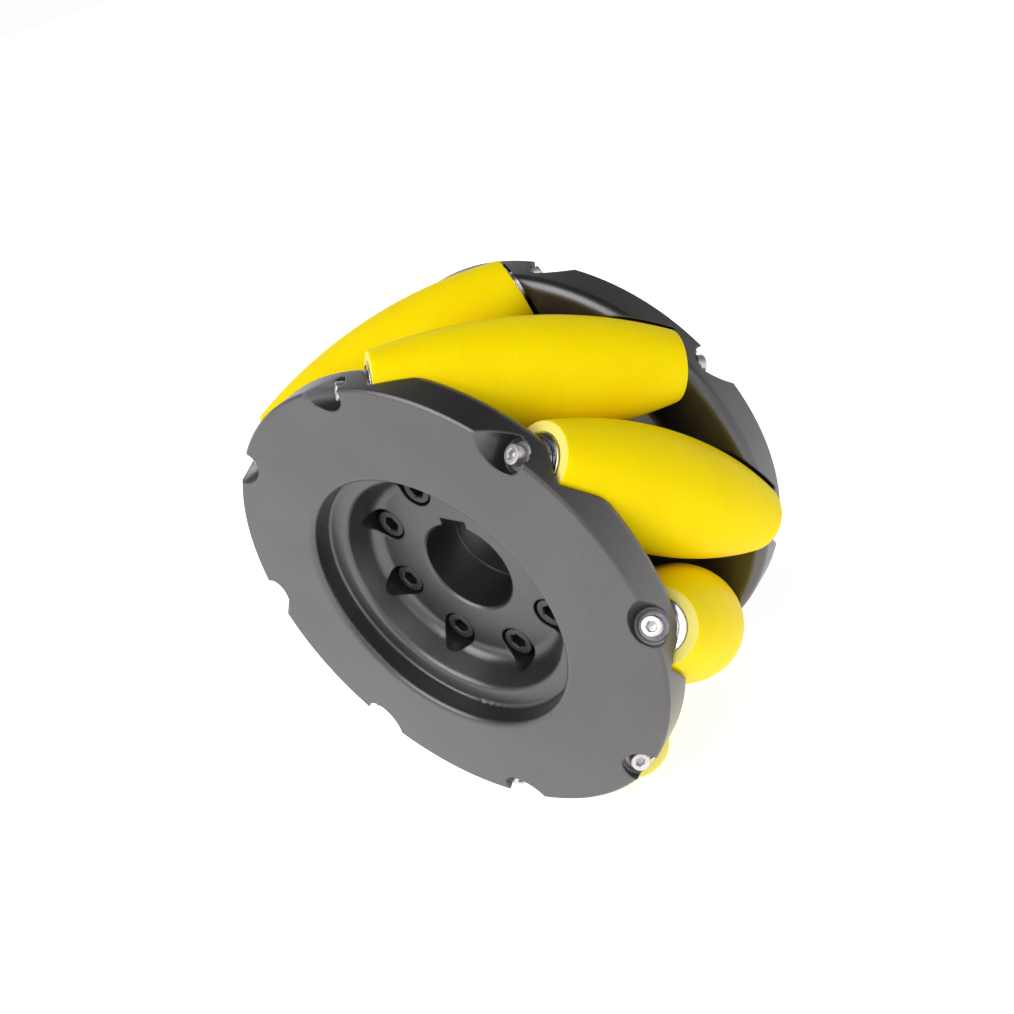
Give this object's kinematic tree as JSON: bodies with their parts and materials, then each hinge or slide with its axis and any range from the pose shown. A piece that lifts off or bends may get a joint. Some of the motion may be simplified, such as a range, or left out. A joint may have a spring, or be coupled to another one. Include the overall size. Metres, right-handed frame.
{
  "type": "mecanum wheel",
  "caption": "Mecanum wheel: two screwed cast hub halves with a keyed through bore hold yellow barrel rollers that spin freely on shafts at 45 degrees.",
  "frame": {"origin": "the wheel's centre, on the axis of the hub bore, midway between the outer faces of the two hub halves", "axes": "+Y along the wheel's axle, from the front hub half to the rear one; +Z from the axle through the keyway; the rollers roll on a circle of radius 101.5 mm about the Y axis"},
  "size_m": [0.203, 0.104, 0.203],
  "materials": {
    "hub_casting": "satin dark grey coating over cast aluminium",
    "black_steel": "black oxide",
    "zinc_steel": "zinc plated",
    "bright_steel": "plain stainless steel",
    "plain_aluminium": "turned",
    "bearing_steel": "ground and polished",
    "cage_steel": "pressed steel",
    "shield_steel": "pressed steel",
    "yellow_polyurethane": "cast polyurethane, ground round, satin"
  },
  "bodies": {
    "hub": {"front_hub_half": "hub_casting", "rear_hub_half": "hub_casting", "hub_screws": "black_steel", "hub_lock_nuts": "zinc_steel", "roller_end_screws": "bright_steel", "roller_shafts": "bright_steel", "shaft_sleeves": "plain_aluminium", "end_spacers": "zinc_steel", "bearing_inner_rings": "bearing_steel"},
    "roller_1": {"roller_1_tread": "yellow_polyurethane", "roller_1_core": "plain_aluminium", "roller_1_outer_rings": "bearing_steel", "roller_1_cages": "cage_steel", "roller_1_balls": "bearing_steel", "roller_1_shields": "shield_steel"},
    "roller_2": {"roller_2_tread": "yellow_polyurethane", "roller_2_core": "plain_aluminium", "roller_2_outer_rings": "bearing_steel", "roller_2_cages": "cage_steel", "roller_2_balls": "bearing_steel", "roller_2_shields": "shield_steel"},
    "roller_3": {"roller_3_tread": "yellow_polyurethane", "roller_3_core": "plain_aluminium", "roller_3_outer_rings": "bearing_steel", "roller_3_cages": "cage_steel", "roller_3_balls": "bearing_steel", "roller_3_shields": "shield_steel"},
    "roller_4": {"roller_4_tread": "yellow_polyurethane", "roller_4_core": "plain_aluminium", "roller_4_outer_rings": "bearing_steel", "roller_4_cages": "cage_steel", "roller_4_balls": "bearing_steel", "roller_4_shields": "shield_steel"},
    "roller_5": {"roller_5_tread": "yellow_polyurethane", "roller_5_core": "plain_aluminium", "roller_5_outer_rings": "bearing_steel", "roller_5_cages": "cage_steel", "roller_5_balls": "bearing_steel", "roller_5_shields": "shield_steel"},
    "roller_6": {"roller_6_tread": "yellow_polyurethane", "roller_6_core": "plain_aluminium", "roller_6_outer_rings": "bearing_steel", "roller_6_cages": "cage_steel", "roller_6_balls": "bearing_steel", "roller_6_shields": "shield_steel"},
    "roller_7": {"roller_7_tread": "yellow_polyurethane", "roller_7_core": "plain_aluminium", "roller_7_outer_rings": "bearing_steel", "roller_7_cages": "cage_steel", "roller_7_balls": "bearing_steel", "roller_7_shields": "shield_steel"},
    "roller_8": {"roller_8_tread": "yellow_polyurethane", "roller_8_core": "plain_aluminium", "roller_8_outer_rings": "bearing_steel", "roller_8_cages": "cage_steel", "roller_8_balls": "bearing_steel", "roller_8_shields": "shield_steel"}
  },
  "joints": [
    {"name": "roller_1_spin", "type": "hinge", "parent": "hub", "child": "roller_1", "pos_m": [0.07331, 0, 0.03037], "axis": [0.2706, 0.7071, -0.6533], "continuous": true},
    {"name": "roller_2_spin", "type": "hinge", "parent": "hub", "child": "roller_2", "pos_m": [0.03037, 0, 0.07331], "axis": [0.6533, 0.7071, -0.2706], "continuous": true},
    {"name": "roller_3_spin", "type": "hinge", "parent": "hub", "child": "roller_3", "pos_m": [-0.03037, 0, 0.07331], "axis": [0.6533, 0.7071, 0.2706], "continuous": true},
    {"name": "roller_4_spin", "type": "hinge", "parent": "hub", "child": "roller_4", "pos_m": [-0.07331, 0, 0.03037], "axis": [0.2706, 0.7071, 0.6533], "continuous": true},
    {"name": "roller_5_spin", "type": "hinge", "parent": "hub", "child": "roller_5", "pos_m": [-0.07331, 0, -0.03037], "axis": [-0.2706, 0.7071, 0.6533], "continuous": true},
    {"name": "roller_6_spin", "type": "hinge", "parent": "hub", "child": "roller_6", "pos_m": [-0.03037, 0, -0.07331], "axis": [-0.6533, 0.7071, 0.2706], "continuous": true},
    {"name": "roller_7_spin", "type": "hinge", "parent": "hub", "child": "roller_7", "pos_m": [0.03037, 0, -0.07331], "axis": [-0.6533, 0.7071, -0.2706], "continuous": true},
    {"name": "roller_8_spin", "type": "hinge", "parent": "hub", "child": "roller_8", "pos_m": [0.07331, 0, -0.03037], "axis": [-0.2706, 0.7071, -0.6533], "continuous": true}
  ]
}
